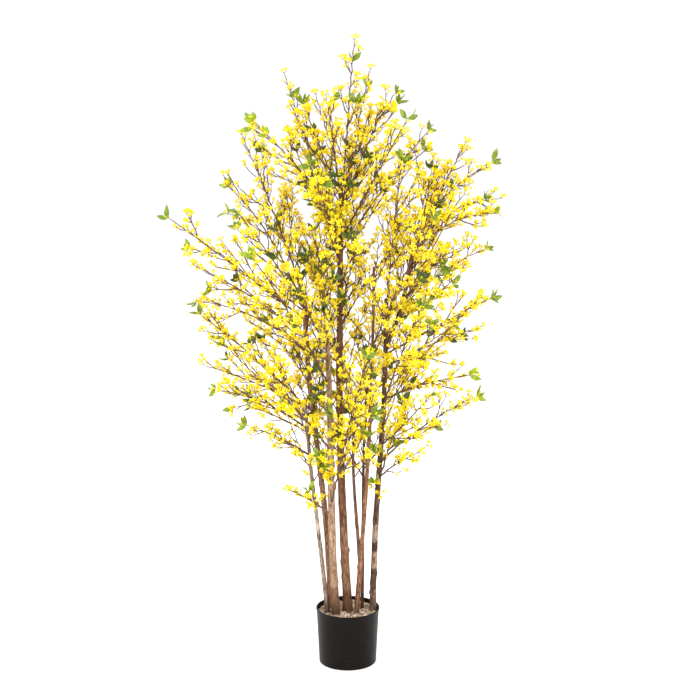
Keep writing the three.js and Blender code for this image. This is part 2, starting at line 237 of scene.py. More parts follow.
class WoodLine(Curve):
    """The line of a stem or bough, which bows and sways off its chord."""

    def __init__(self, start, end, bow, sway):
        self.start, self.end = np.array(start, float), np.array(end, float)
        self.bow, self.sway = np.array((*bow, 0)), np.array((sway, 0, 0))

    def point(self, t):
        bowed = self.bow * math.sin(math.pi * t) + self.sway * math.sin(2 * math.pi * t)
        return lerp(self.start, self.end, t) + bowed

    def share(self, z):
        return (z - self.start[2]) / (self.end[2] - self.start[2])

    def at_height(self, z):
        return self.point(self.share(z))


class Arch(Curve):
    """A quadratic Bezier curve."""

    def __init__(self, start, control, end):
        self.start, self.control, self.end = start, control, end

    def point(self, t):
        return lerp(lerp(self.start, self.control, t), lerp(self.control, self.end, t), t)


def distance(points, chain):
    """How far each point is from a chain of points."""
    start, step = chain[:-1], np.diff(chain, axis=0)
    off = points[:, None] - start
    share = np.clip((off * step).sum(2) / (step * step).sum(1), 0, 1)
    return np.linalg.norm(off - share[..., None] * step, axis=2).min(1)


# ---- limbs, and where the sprays go ----

limbs = {}
for name, spec in STEMS.items():
    line = WoodLine((*spec["foot"], GROUND - ROOTED), spec["top"], spec["bow"], spec["sway"])
    limbs[name] = dict(line=line, radius=spec["radius"], flare=FLARE_SHARE)
for name, spec in BOUGHS.items():
    start = limbs[spec["stem"]]["line"].at_height(spec["rises"])
    line = WoodLine(start, spec["top"], spec["bow"], spec["sway"])
    limbs[name] = dict(line=line, radius=spec["radius"], flare=0)
for limb in limbs.values():
    limb["chain"] = limb["line"].points(LIMB_STEPS)
    limb["reach"] = limb["radius"][0] + CLEAR_OF_WOOD


def limb_radius(limb, t):
    return lerp(*limb["radius"], t) * (1 + limb["flare"] * np.exp(-t / FLARE_HEIGHT))


def spray_line(limb_name, foot, tip, arch=GROWTH["arch"]):
    """A spray's arched line, from its limb's axis to the root of the leaf at its tip."""
    start = limbs[limb_name]["line"].at_height(foot)
    length = np.linalg.norm(tip - start)
    end = lerp(tip, start, GROWTH["tip_leaf"] / length)
    control = (start + end) / 2 + np.array((0, 0, 2 * arch * length))
    return Arch(start, control, end)


def candidate(chance):
    """One way that a further spray could grow."""
    names = list(limbs)
    limb_name = names[int(len(names) * next(chance))]
    line = limbs[limb_name]["line"]
    lowest = max(FILLING["lowest_foot"], line.start[2] + FILLING["above_foot"])
    foot = lerp(lowest, line.end[2] - FILLING["below_top"], next(chance))
    azimuth = 2 * math.pi * next(chance)
    reach = lerp(*FILLING["reach"], next(chance))
    rise = reach * lerp(*FILLING["rise"], next(chance))
    out = np.array((reach * math.cos(azimuth), reach * math.sin(azimuth), rise))
    return limb_name, foot, line.at_height(foot) + out


def room(limb_name, foot, tip):
    """How much room a candidate would have, as in the source."""
    rise = tip[2] - CROWN["middle"]
    share = rise / (CROWN["above"] if rise > 0 else CROWN["below"])
    widest = CROWN["radius"] * math.sqrt(max(0, 1 - share * share))
    if math.hypot(tip[0], tip[1] / CROWN["depth"]) > widest:
        return 0
    line = spray_line(limb_name, foot, tip)
    path = line.points(PATH_STEPS)
    for name, limb in limbs.items():
        passing = limb["reach"] + FILLING["passing"]
        if name != limb_name and distance(path, limb["chain"]).min() < passing:
            return 0
    shares, weights = np.array(FILLING["felt"]).T
    tested = np.vstack((path, [line.point(t) for t in shares]))
    near = np.min([distance(tested, spray["chain"]) for spray in sprays], axis=0)
    along_path, at_felt = near[: len(path)], near[len(path) :]
    return 0 if along_path.min() < FILLING["passing"] else (at_felt * weights).min()


sprays = []


def add_spray(name, limb_name, foot, tip, arch=GROWTH["arch"], spread=1):
    line = spray_line(limb_name, foot, tip, arch)
    chain = line.points(SPRAY_STEPS)
    sprays.append(dict(name=name, limb=limb_name, line=line, chain=chain, tip=tip, spread=spread))


for group, rows in dict(left=LEFT, top=TOP, right=RIGHT, front=FRONT).items():
    for number, (limb_name, foot, tip, *rest) in enumerate(rows, 1):
        add_spray(f"spray_{group}_{number:02d}", limb_name, foot, np.array(tip, float), *rest)
chance = seeded(FILLING["seed"])
for i in range(FILLING["count"]):
    tries = [candidate(chance) for _ in range(FILLING["tries"])]
    rooms = [room(*each) for each in tries]
    add_spray(f"spray_inner_{i + 1:02d}", *tries[int(np.argmax(rooms))])


def in_own_space(spray, points, girth):
    """True if points with girth round them are in the spray's own space and clear of the wood."""
    needed = distance(points, spray["chain"]) + GROWTH["margin"] + 2 * girth
    for other in sprays:
        if other is not spray and (distance(points, other["chain"]) <= needed).any():
            return False
    return all((distance(points, w["chain"]) > w["reach"] + girth).all() for w in limbs.values())


def in_crown(points):
    """True if all the points are in the crown's filled middle, which narrows towards its top."""
    rise = points[:, 2] - CROWN["middle"]
    share = rise / np.where(rise > 0, FINE["full_height"], CROWN["below"])
    widest = FINE["full_radius"] * np.clip(1 - share * share, 0, 1) ** FINE["fullness"]
    off = points[:, 0] - FINE["full_middle"]
    return (np.hypot(off, points[:, 1] / CROWN["depth"]) < widest).all()


def clear_of_limbs(points, own):
    """True if the points keep off every limb but their own."""
    others = [limb for name, limb in limbs.items() if name != own]
    return all((distance(points, w["chain"]) > w["reach"]).all() for w in others)


# ---- meshes ----


SKEW = (0.31, 0.52, 0.79)  # a direction that no twig starts in


class Piece:
    """The points and triangles of one joined mesh."""

    def __init__(self):
        self.points, self.faces, self.count = [], [], 0

    def add(self, points, faces):
        self.points.append(np.asarray(points, float).reshape(-1, 3))
        self.faces.append(np.asarray(faces).reshape(-1, 3) + self.count)
        self.count += len(self.points[-1])

    def write(self, name, material, slot, replaces=()):
        mesh = bpy.data.meshes.new(name)
        mesh.from_pydata(np.concatenate(self.points) * MM, [], np.concatenate(self.faces))
        mesh.polygons.foreach_set("use_smooth", np.ones(len(mesh.polygons), bool))
        mesh.materials.append(material)
        piece = bpy.data.objects.new(name, mesh)
        bpy.context.scene.collection.objects.link(piece)
        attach(piece, "root")
        if replaces:
            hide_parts(*replaces)
        return piece


def ring_faces(rings, sides, closed=True):
    """The triangles between rings of points; an open ring doesn't join its last point to its first."""
    joins = sides if closed else sides - 1
    ring, side = np.meshgrid(np.arange(rings - 1), np.arange(joins), indexing="ij")
    a = ring * sides + side
    b = ring * sides + (side + 1) % sides
    return np.stack((a, b, b + sides, a, b + sides, a + sides), axis=-1).reshape(-1, 3)


def around(sides):
    """The turns of the points of a ring."""
    return np.arange(sides) * 2 * math.pi / sides


def tube(piece, centres, radii, sides):
    """An open tube along a chain of points, with a radius at each."""
    along = unit(np.gradient(centres, axis=0))
    across = unit(np.cross(along[0], SKEW))
    turns = around(sides)
    rings = []
    for centre, direction, radius in zip(centres, along, radii):
        across = unit(across - direction * (across @ direction))
        over = np.cross(direction, across)
        ring = np.outer(np.cos(turns), across) + np.outer(np.sin(turns), over)
        rings.append(centre + radius * ring)
    piece.add(np.concatenate(rings), ring_faces(len(centres), sides))


def lathe(piece, profile, sides):
    """A surface turned about +Z from a profile of radii and heights."""
    turns = around(sides)
    points = [(r * np.cos(turns), r * np.sin(turns), np.full(sides, z)) for r, z in profile]
    piece.add(np.concatenate([np.stack(p, axis=1) for p in points]), ring_faces(len(profile), sides))


def turned_frames(axes, rolls):
    """Rotations that bring +Z to each axis, rolled about it."""
    helper = np.where(np.abs(axes[:, 2:]) < STEEP, (0.0, 0.0, 1.0), (0.0, 1.0, 0.0))
    across = unit(np.cross(helper, axes))
    over = np.cross(axes, across)
    cos, sin = np.cos(rolls)[:, None], np.sin(rolls)[:, None]
    return np.stack((across * cos + over * sin, over * cos - across * sin, axes), axis=2)


def strew(piece, shape, rows):
    """Copies of a shape, given as points and faces: a row is a place, an axis for +Z, a roll and a size."""
    points, faces = shape
    places, axes, rolls, sizes = rows[:, :3], rows[:, 3:6], rows[:, 6], rows[:, 7]
    turned = np.einsum("nij,kj->nki", turned_frames(axes, rolls), points) * sizes[:, None, None]
    counts = np.arange(len(places))[:, None, None] * len(points)
    piece.add(turned + places[:, None], faces[None] + counts)


# ---- materials ----


def srgb(r, g, b):
    """A colour as a screen shows it, from 0 to 255, as Blender holds it."""
    shares = np.array((r, g, b)) / 255
    return (*np.where(shares <= 0.04045, shares / 12.92, ((shares + 0.055) / 1.055) ** 2.4), 1)


class Surface:
    """A Principled material and the nodes that feed it, patterned in the plant's own space."""

    def __init__(self, name, roughness, specular):
        self.material = bpy.data.materials.new(name)
        self.material.use_nodes = True
        self.nodes = self.material.node_tree.nodes
        self.links = self.material.node_tree.links
        self.shader = self.nodes["Principled BSDF"]
        self.shader.inputs["Roughness"].default_value = roughness
        self.shader.inputs["Specular IOR Level"].default_value = specular
        self.space = self.nodes.new("ShaderNodeTexCoord").outputs["Object"]

    def node(self, kind, inputs, **settings):
        """A node with its settings, and with values or links on its inputs."""
        node = self.nodes.new(f"ShaderNode{kind}")
        for name, value in settings.items():
            setattr(node, name, value)
        for key, value in inputs.items():
            if isinstance(value, bpy.types.NodeSocket):
                self.links.new(value, node.inputs[key])
            else:
                node.inputs[key].default_value = value
        return node.outputs

    def noise(self, scale, detail=4, stretch=(1, 1, 1), rough=0.55, distortion=0):
        """Noise from 0 to 1, at a scale for each metre, drawn out where stretch is small."""
        place = self.node("Mapping", {"Vector": self.space, "Scale": stretch})["Vector"]
        inputs = {"Scale": scale, "Detail": detail, "Roughness": rough, "Distortion": distortion}
        return self.node("TexNoise", {"Vector": place, **inputs})["Fac"]

    def step(self, value, low, high):
        """0 below low and 1 above high, smooth between."""
        inputs = {"Value": value, "From Min": low, "From Max": high}
        return self.node("MapRange", inputs, interpolation_type="SMOOTHSTEP")["Result"]

    def math(self, operation, a, b):
        return self.node("Math", {0: a, 1: b}, operation=operation)["Value"]

    def mix(self, factor, a, b):
        """From a to b as the factor goes from 0 to 1."""
        return self.node("Mix", {"Factor": factor, "A": a, "B": b}, data_type="RGBA")["Result"]

    def height(self):
        """The height above the ground, in metres."""
        return self.node("SeparateXYZ", {"Vector": self.space})["Z"]

    def colour(self, colour):
        self.links.new(colour, self.shader.inputs["Base Color"])

    def bump(self, value, strength, depth):
        """A relief of a depth in metres."""
        outputs = self.node("Bump", {"Height": value, "Strength": strength, "Distance": depth})
        self.links.new(outputs["Normal"], self.shader.inputs["Normal"])


def cloth_material(name, light, deep, scale, roughness, specular=0.3):
    """Fine printed cloth or moulded leaf: two near tones and a fine relief."""
    surface = Surface(name, roughness, specular)
    mottled = surface.step(surface.noise(scale), 0.35, 0.65)
    surface.colour(surface.mix(mottled, srgb(*light), srgb(*deep)))
    surface.bump(surface.noise(scale * 6, detail=2), strength=0.25, depth=0.0003)
    return surface.material


BAND_WANDER = 0.03  # how far the edges of the bands wander up and down, in metres
BAND_BLUR = 0.004
PATCH_BLUR = 0.06
FOOT_SHADE_HEIGHTS = (0.25, 0.17)  # where the painted shade at the foot starts and where it is full


def bark_material(name, light, dark, crack_and_shade, pale=None, pale_share=0.62, bands=(), foot_shade=0.45):
    """Bark: mottled streaks, dark cracks, pale patches, bands at heights in metres, and painted shade that
    darkens the foot.
    """
    surface = Surface(name, roughness=0.9, specular=0.1)
    light, dark, crack_and_shade = srgb(*light), srgb(*dark), srgb(*crack_and_shade)
    streaks = surface.noise(260, detail=6, stretch=(1, 1, 0.16), rough=0.7, distortion=0.2)
    colour = surface.mix(surface.step(streaks, 0.4, 0.62), dark, light)
    if pale:
        patches = surface.noise(46, detail=6, stretch=(1, 1, 0.3), rough=0.68, distortion=0.3)
        patched = surface.step(patches, pale_share - PATCH_BLUR, pale_share + PATCH_BLUR)
        colour = surface.mix(patched, colour, srgb(*pale))
    wander = surface.noise(60, detail=3)
    height = surface.math("ADD", surface.height(), surface.math("MULTIPLY", wander, BAND_WANDER))
    for start, tone in bands:
        tone = srgb(*tone)
        deep = tuple(0.5 * c for c in tone[:3]) + (1,)
        banded = surface.mix(surface.step(streaks, 0.36, 0.6), deep, tone)
        edge = start + BAND_WANDER / 2
        colour = surface.mix(surface.step(height, edge - BAND_BLUR, edge + BAND_BLUR), banded, colour)
    blotches = surface.noise(75, detail=6, stretch=(1, 1, 0.35), rough=0.75, distortion=0.5)
    colour = surface.mix(surface.math("MULTIPLY", surface.step(blotches, 0.5, 0.62), 0.8), colour, dark)
    flecks = surface.noise(150, detail=5, stretch=(1, 1, 0.5), rough=0.7)
    colour = surface.mix(surface.math("MULTIPLY", surface.step(flecks, 0.6, 0.66), 0.85), colour, crack_and_shade)
    cracks = surface.noise(420, detail=5, stretch=(1, 1, 0.14), rough=0.75, distortion=0.3)
    cracks = surface.step(cracks, 0.56, 0.64)
    colour = surface.mix(cracks, colour, crack_and_shade)
    # Painted shade near the pot: the bark darkens towards its foot, into the colour of the cracks.
    foot = surface.math("MULTIPLY", surface.step(height, *FOOT_SHADE_HEIGHTS), foot_shade)
    surface.colour(surface.mix(foot, colour, crack_and_shade))
    surface.bump(surface.math("SUBTRACT", streaks, cracks), strength=0.9, depth=0.0016)
    return surface.material


# ---- pot and gravel ----

POT_SIDES = 128
FOOT_RADIUS = 83.5
WALL = 2.6
LIP = 1.6
LIP_HEIGHT = 5
FLOOR = 4
STANDING_RING = 8  # the width of the ring that it stands on
UNDERSIDE = 1.5
HUB = 0.5  # the radius of the pinhole that is left in the middle of a lathed face

pot = Piece()
shoulder = RIM_RADIUS - LIP
lathe(
    pot,
    [
        (HUB, UNDERSIDE),
        (FOOT_RADIUS - STANDING_RING - 1, UNDERSIDE),
        (FOOT_RADIUS - STANDING_RING, 0),
        (FOOT_RADIUS - 2.5, 0),
        (FOOT_RADIUS - 0.7, 0.8),
        (FOOT_RADIUS, 2.6),
        (FOOT_RADIUS + 0.15, 6),
        (lerp(FOOT_RADIUS, shoulder, 0.5), RIM_HEIGHT / 2),
        (shoulder - 0.1, RIM_HEIGHT - LIP_HEIGHT - 1),
        (shoulder + 0.1, RIM_HEIGHT - LIP_HEIGHT),
        (RIM_RADIUS - 0.4, RIM_HEIGHT - LIP_HEIGHT + 0.7),
        (RIM_RADIUS, RIM_HEIGHT - LIP_HEIGHT + 1.6),
        (RIM_RADIUS, RIM_HEIGHT - 1.5),
        (RIM_RADIUS - 0.5, RIM_HEIGHT - 0.4),
        (RIM_RADIUS - 1.4, RIM_HEIGHT),
        (shoulder - WALL + 0.9, RIM_HEIGHT),
        (shoulder - WALL, RIM_HEIGHT - 0.8),
        (shoulder - WALL - 0.2, RIM_HEIGHT - 4),
        (FOOT_RADIUS - WALL, FLOOR),
        (HUB, FLOOR),
    ],
    POT_SIDES,
)
plastic = Surface("black_plastic", roughness=0.4, specular=0.09)
scuffs = plastic.noise(45, detail=5, stretch=(1, 1, 2.5), rough=0.6)
plastic.colour(plastic.mix(plastic.step(scuffs, 0.4, 0.75), srgb(16, 11, 9), srgb(25, 18, 15)))
plastic.bump(plastic.noise(900, detail=2), strength=0.12, depth=0.0002)
pot.write("pot_shell", plastic.material, "pot", ["pot"])

CHIP_SIZE = (4.5, 9.5)
CHIP_SHARES = np.array((1, 0.75, 0.45))
CHIP_TILT = 0.35
CHIPS = 620
BED_DEPTH = 3  # the chips lie at up to this much above the bed under them
BED_SIDES = 64
STONES = (  # light, dark
    ((222, 206, 188), (190, 170, 150)),
    ((196, 172, 148), (150, 126, 104)),
    ((160, 138, 120), (112, 92, 78)),
)
rng = np.random.default_rng(seed=11)
bed_radius = RIM_RADIUS - LIP - WALL - 1.2

cube = np.array([(x, y, z) for x in (-1, 1) for y in (-1, 1) for z in (-1, 1)], float)
cube_faces = [
    (0, 1, 3), (0, 3, 2), (4, 6, 7), (4, 7, 5), (0, 4, 5), (0, 5, 1),
    (2, 3, 7), (2, 7, 6), (0, 2, 6), (0, 6, 4), (1, 5, 7), (1, 7, 3),
]
chips = [Piece() for _ in STONES]
for i in range(CHIPS):
    away = bed_radius * math.sqrt(rng.random())
    turn = rng.random() * 2 * math.pi
    size = rng.uniform(*CHIP_SIZE)
    away = min(away, bed_radius - size)
    height = GROUND - BED_DEPTH + BED_DEPTH * rng.random()
    place = np.array((away * math.cos(turn), away * math.sin(turn), height))
    block = cube * rng.uniform(0.75, 1.25, cube.shape) * size * CHIP_SHARES * 0.8
    turned = turned_frames(unit(rng.normal(0, CHIP_TILT, (1, 3)) + (0, 0, 1)), rng.random(1) * 7)[0]
    chips[i % len(chips)].add(block @ turned.T + place, cube_faces)
bed = Piece()
lathe(
    bed,
    [
        (HUB, GROUND - BED_DEPTH),
        (bed_radius + 0.9, GROUND - BED_DEPTH),
        (FOOT_RADIUS - WALL - 0.4, FLOOR + 0.4),
        (HUB, FLOOR + 0.4),
    ],
    BED_SIDES,
)

stone = Surface("chip_bed", roughness=0.95, specular=0.2)
stone.colour(stone.mix(stone.noise(300, detail=5), srgb(96, 78, 62), srgb(150, 128, 106)))
stone.bump(stone.noise(500), strength=0.8, depth=0.002)
bed.write("chip_bed", stone.material, "gravel", ["gravel_fill"])
for i, (light, dark) in enumerate(STONES):
    stone = Surface(f"stone_{i + 1}", roughness=0.9, specular=0.3)
    mottled = stone.step(stone.noise(420, detail=5), 0.35, 0.65)
    stone.colour(stone.mix(mottled, srgb(*dark), srgb(*light)))
    stone.bump(stone.noise(900, detail=3), strength=0.6, depth=0.001)
    piece = chips[i].write(f"gravel_{i + 1}", stone.material, "gravel")
    piece.data.polygons.foreach_set("use_smooth", np.zeros(len(piece.data.polygons), bool))


# ---- stems and boughs ----

BARK_SIDES = 30
RING_EVERY = 4.5
SUNK = 4
TOP_BEVEL = dict(share=0.93, rise=0.6)
PALE_WOOD = ("stem_pale", "stem_grey", "stem_right")

# Bumps on the wood: height, turn in degrees from +X about the stem, width and how far it stands out.
KNOTS = {
    "stem_main": [
        (335, 0, 9, 3.2), (300, 190, 16, 2.6), (470, 200, 14, 1.6), (255, 200, 14, 2.2),
        (640, 10, 13, 1.6),
    ],
    "stem_pale": [
        (250, 20, 12, 2.0), (330, 250, 11, 1.8), (430, 200, 12, 1.8), (600, 330, 14, 1.6),
        (190, 190, 14, 2),
    ],
    "stem_brown": [(300, 350, 12, 1.8), (420, 250, 12, 1.4), (520, 200, 12, 1.4)],
    "stem_grey": [(260, 300, 8, 1.4), (390, 200, 8, 1.2), (480, 20, 8, 1.2)],
    "stem_forked": [(483, 180, 9, 1.8), (292, 180, 16, 2.2), (600, 20, 8, 0.9), (700, 200, 8, 0.9)],
    "stem_dark": [(230, 200, 7, 1.0), (330, 10, 7, 0.8)],
    "stem_right": [
        (262, 20, 14, 2.6), (232, 190, 13, 2.0), (205, 185, 10, 3.0), (480, 10, 14, 1.5),
        (420, 170, 12, 1.2),
    ],
    "bough_fork": [(420, 180, 7, 0.8), (600, 20, 7, 0.8)],
    "bough_right": [(1000, 20, 8, 1.0), (1150, 200, 8, 1.0)],
}

# Where a bark gives a strength for its foot, that is how far painted shade darkens it near the pot.
BARKS = {
    "stem_main": dict(
        light=(154, 114, 86), dark=(96, 64, 44), crack_and_shade=(48, 30, 22), foot_shade=0.2,
        bands=[(0.405, (160, 120, 92)), (0.215, (128, 92, 68))],
    ),
    "stem_pale": dict(
        light=(196, 164, 140), dark=(142, 108, 82), crack_and_shade=(70, 48, 36), pale=(216, 194, 176),
        pale_share=0.6, foot_shade=0.6, bands=[(0.32, (182, 146, 118)), (0.235, (140, 104, 78))],
    ),
    "stem_brown": dict(
        light=(166, 128, 102), dark=(108, 76, 56), crack_and_shade=(50, 34, 26), pale=(196, 164, 140),
    ),
    "stem_grey": dict(
        light=(178, 158, 142), dark=(118, 96, 82), crack_and_shade=(52, 40, 34), pale=(196, 178, 164),
        pale_share=0.6, foot_shade=0.6,
    ),
    "stem_forked": dict(light=(170, 126, 94), dark=(110, 74, 50), crack_and_shade=(56, 36, 26)),
    "stem_dark": dict(light=(116, 90, 76), dark=(78, 56, 46), crack_and_shade=(42, 30, 26)),
    "stem_right": dict(
        light=(126, 98, 80), dark=(80, 60, 48), crack_and_shade=(42, 30, 26),
        bands=[
            (0.407, (180, 156, 138)), (0.359, (90, 64, 52)), (0.327, (184, 156, 134)),
            (0.275, (106, 82, 68)), (0.215, (150, 124, 104)),
        ],
    ),
    "bough_fork": dict(light=(130, 98, 80), dark=(86, 62, 50), crack_and_shade=(48, 34, 30)),
    "bough_right": dict(light=(120, 90, 72), dark=(80, 58, 46), crack_and_shade=(46, 34, 30)),
}


RELIEF = (  # bulges, ridges and flakes: share of the radius, size along each axis, offset along X
    (0.1, (30, 30, 70), 0),
    (0.055, (4.5, 4.5, 55), 0),
    (0.03, (2.6, 2.6, 9), 40),
)


def relief(spot):
    """How far the bark stands out at a point, as a share of the radius."""
    return sum(share * noise.noise(Vector(spot / size + (shift, 0, 0))) for share, size, shift in RELIEF)


cut_ends = Piece()


def bark_mesh(name):
    """A stem or bough with its bark's relief, its knots and a cut top."""
    limb = limbs[name]
    line = limb["line"]
    first = line.share(GROUND - SUNK) if name in STEMS else 0
    count = int(line.length() * (1 - first) / RING_EVERY)
    piece = Piece()
    rings = []
    for i in range(count + 1):
        t = lerp(first, 1, i / count)
        across, over = line.frame(t)[1:]
        centre = line.point(t)
        radius = float(limb_radius(limb, t))
        ring = []
        for turn in around(BARK_SIDES):
            out = aside(across, over, turn)
            spot = centre + out * radius
            grown = radius * (1 + relief(spot))
            azimuth = math.degrees(math.atan2(out[1], out[0]))
            for height, side, width, rise in KNOTS[name]:
                apart = math.radians((azimuth - side + 180) % 360 - 180) * radius
                away = ((spot[2] - height) ** 2 * 0.6 + apart**2) / (width / 2) ** 2
                grown += rise * math.exp(-away)
            ring.append(centre + out * grown)
        rings.append(ring)
    rings = np.array(rings)
    centre = rings[-1].mean(axis=0)
    risen = line.tangent(1) * TOP_BEVEL["rise"]
    bevel = lerp(centre, rings[-1], TOP_BEVEL["share"]) + risen
    piece.add(np.concatenate((rings.reshape(-1, 3), bevel)), ring_faces(count + 2, BARK_SIDES))
    fan = [(i, (i + 1) % BARK_SIDES, BARK_SIDES) for i in range(BARK_SIDES)]
    cut_ends.add(np.vstack((bevel, centre + risen)), fan)
    return piece


for name in limbs:
    slot = "pale_wood" if name in PALE_WOOD else "dark_wood"
    bark_mesh(name).write(f"{name}_bark", bark_material(f"bark_{name}", **BARKS[name]), slot, [name])

end_grain = Surface("end_grain", roughness=0.8, specular=0.2)
end_grain.colour(end_grain.mix(end_grain.noise(700), srgb(176, 142, 108), srgb(120, 90, 66)))
end_grain.bump(end_grain.noise(900, detail=3), strength=0.5, depth=0.0008)
cut_ends.write("cut_ends", end_grain.material, "dark_wood")


# ---- twigs, blossoms and leaves ----

HUES = 3
STEM_SIDES, TWIG_SIDES, TWIGLET_SIDES = 6, 5, 4
ANY_ROLL = (0, 7)  # radians
GOLDEN_TURN = 2.4
BLOSSOM = dict(stub=(5, 15), stub_at_tip=(3, 8), stub_by_leaves=4, size=(0.76, 1.0))
AT_NODE = ((0, 1, 2, 3), (0.25, 0.52, 0.19, 0.04))  # how many blossoms sit at a node, and their chances
FAN = (0, 0.9, -0.9)  # how far the blossoms at a node turn apart
AT_TIP = (2, 4)  # from 2 to 3 blossoms
BUNCH = (3, 6)  # from 3 to 5 leaves
LEAF_SIZE = (0.7, 1.12)
PAINTED_SHADE_STEPS = (0.7, 1.0)  # shares of the way out to the crown's edge, where the leaves' painted shade turns lighter
OPENINGS = ((0.4, 0.35), (0.6, 0.45), (0.8, 0.5), (0.25, 0.3))  # a petal's lean and curl
LEAF_BENDS = ((0.25, 0.25), (-0.3, 0.35), (0.45, 0.15))  # a leaf's arch and fold
# How much of a direction goes along the twig, to its side and straight up.
STUB_LEAVES = dict(along=(0.5, 0.9), aside=0.8)
BLOSSOM_FACES = dict(along=(0.45, 0.95), aside=(0.2, 0.8), up=(0, 0.5))
LEAF_FACES = dict(along=(0.5, 1.0), aside=(0.6, 1.0), up=0.15)
STUB_PARTS = (0.55, 0.5)  # shares of its length before and after its elbow
TWIG_BEND = dict(pull=0.7, lift=GROWTH["twig_rise"], after=0.55)
TWIGLET_BEND = dict(pull=0.9, lift=0.25, after=0.5)
NODE_SWELLS = 1.18
TIP_NARROWS = 0.4
twigs = Piece()
flowers = []  # place, axis, roll, size, hue, opening
stubs = []  # root, elbow, tip
leaves = []  # place, axis, roll, size, step of painted shade, bend


def add_flower(root, along, side, rng, hue, length=None):
    """A blossom on its stub, which leaves sideways and turns up along the twig."""
    length = rng.uniform(*BLOSSOM["stub"]) if length is None else length
    out = unit(along * rng.uniform(*STUB_LEAVES["along"]) + side * STUB_LEAVES["aside"])
    axis = along * rng.uniform(*BLOSSOM_FACES["along"]) + side * rng.uniform(*BLOSSOM_FACES["aside"])
    axis = unit(axis + (0, 0, rng.uniform(*BLOSSOM_FACES["up"])))
    elbow = root + out * STUB_PARTS[0] * length
    tip = elbow + axis * STUB_PARTS[1] * length
    stubs.append((root, elbow, tip))
    roll, size = rng.uniform(*ANY_ROLL), rng.uniform(*BLOSSOM["size"])
    flowers.append((*tip, *axis, roll, size, hue, rng.integers(len(OPENINGS))))


def add_leaves(root, along, side, rng):
    """A bunch of three to five leaves, with painted shade: darker in the crown's middle, lighter towards
    the outside of the crown.
    """
    count = rng.integers(*BUNCH)
    rise = root[2] - CROWN["middle"]
    tall = CROWN["above"] if rise > 0 else CROWN["below"]
    away = math.hypot(math.hypot(*root[:2]) / CROWN["radius"], rise / tall)
    # Painted shade: the deeper in the crown, the darker the green that the bunch gets.
    hue = HUES - 1 - np.searchsorted(PAINTED_SHADE_STEPS, away * rng.uniform(0.8, 1.2))
    start = rng.uniform(*ANY_ROLL)
    over = np.cross(along, side)
    for i in range(count):
        out = aside(side, over, start + i * GOLDEN_TURN)
        axis = along * rng.uniform(*LEAF_FACES["along"]) + out * rng.uniform(*LEAF_FACES["aside"])
        axis = unit(axis + (0, 0, LEAF_FACES["up"]))
        roll, size = rng.uniform(*ANY_ROLL), rng.uniform(*LEAF_SIZE)
        leaves.append((*root, *axis, roll, size, hue, rng.integers(len(LEAF_BENDS))))


def grow(curve, radii, sides, rng, hue, first, leafy, dense=1.0):
    """A twig with nodes, and what grows at each node beyond the first share of its length."""
    count = max(2, round(curve.length() / FINE["node_every"]))
    nodes = curve.points(count)
    frames = [curve.frame(i / count) for i in range(count + 1)]
    for i in range(1, count):
        off = aside(*frames[i][1:], rng.uniform(-0.6, 0.6) + math.pi * (i % 2))
        nodes[i] += off * FINE["zigzag"] * rng.uniform(0.5, 1.3)
    chain = np.empty((2 * count + 1, 3))
    chain[::2] = nodes
    chain[1::2] = (nodes[1:] + nodes[:-1]) / 2
    radius = np.linspace(*radii, 2 * count + 1)
    radius[::2] *= NODE_SWELLS
    radius[-1] *= TIP_NARROWS
    tube(twigs, chain, radius, sides)
    for i in range(1, count):
        if i / count < first:
            continue
        along, across, over = frames[i]
        groups = rng.choice(AT_NODE[0], p=AT_NODE[1]) if rng.random() < dense else 0
        base = rng.uniform(-0.7, 0.7) + math.pi * (i % 2)
        for k in range(groups):
            side = aside(across, over, base + FAN[k] + rng.uniform(-0.3, 0.3))
            add_flower(nodes[i], along, side, rng, hue)
        if rng.random() < FINE["leafy_node"]:
            add_leaves(nodes[i], along, across, rng)
    along, across, over = frames[-1]
    if rng.random() < leafy:
        add_leaves(nodes[-1], along, across, rng)
        add_flower(nodes[-1], along, across, rng, hue, BLOSSOM["stub_by_leaves"])
    else:
        for k in range(rng.integers(*AT_TIP)):
            side = aside(across, over, k * 2.1 + rng.uniform(0, 1))
            add_flower(nodes[-1], along, side, rng, hue, rng.uniform(*BLOSSOM["stub_at_tip"]))


def bent(start, direction, along, reach, pull, lift, after):
    """A twig that leaves in one direction and, halfway, turns up along what carries it."""
    elbow = start + direction * 0.5 * reach
    onward = unit(direction + pull * along + (0, 0, lift))
    return Arch(start, elbow, elbow + onward * after * reach)


def twiglets(curve, rng, hue, first, scale):
    """Fine twigs along a twig, alternately to one side and the other."""
    count = int(curve.length() * (1 - first) / FINE["twiglet_every"])
    for i in range(count):
        t = lerp(first, 0.93, (i + rng.uniform(0.2, 0.8)) / count)
        turn = rng.uniform(-1, 1) + math.pi * (i % 2)
        start = curve.point(t)
        angle = math.radians(FINE["twiglet_angle"]) * rng.uniform(0.7, 1.4)
        direction = curve.leaving(t, angle, turn)
        reach = rng.uniform(*FINE["twiglet_length"]) * scale * lerp(1.1, 0.7, t)
        twiglet = bent(start, direction, curve.tangent(t), reach, **TWIGLET_BEND)
        grow(twiglet, FINE["twiglet_radius"], TWIGLET_SIDES, rng, hue, first=0.2, leafy=0.04)


SLENDER_LEAF = 0.86  # a slender spray ends in blossoms, with its leaves at this share of its length
SLENDER_TIP, FULL_TIP = 0.62, 0.55  # the share of the source's tip leaf that a stem runs on into
LEAFY_TIP = 0.55
SEEDS = dict(sprays=100, limbs=300, shoots=500, slender_leaves=700, bare_trunk=9, strays=5)
RISE = np.array((0, 0, GROWTH["twig_rise"]))


FILLERS = dict(every=80, angles=(24, 44), lengths=(80, 190))
LIMB_TWIGS = dict(every=46, angles=(22, 48), lengths=(90, 230))
SHOOT_TWIGS = dict(FILLERS, every=60)


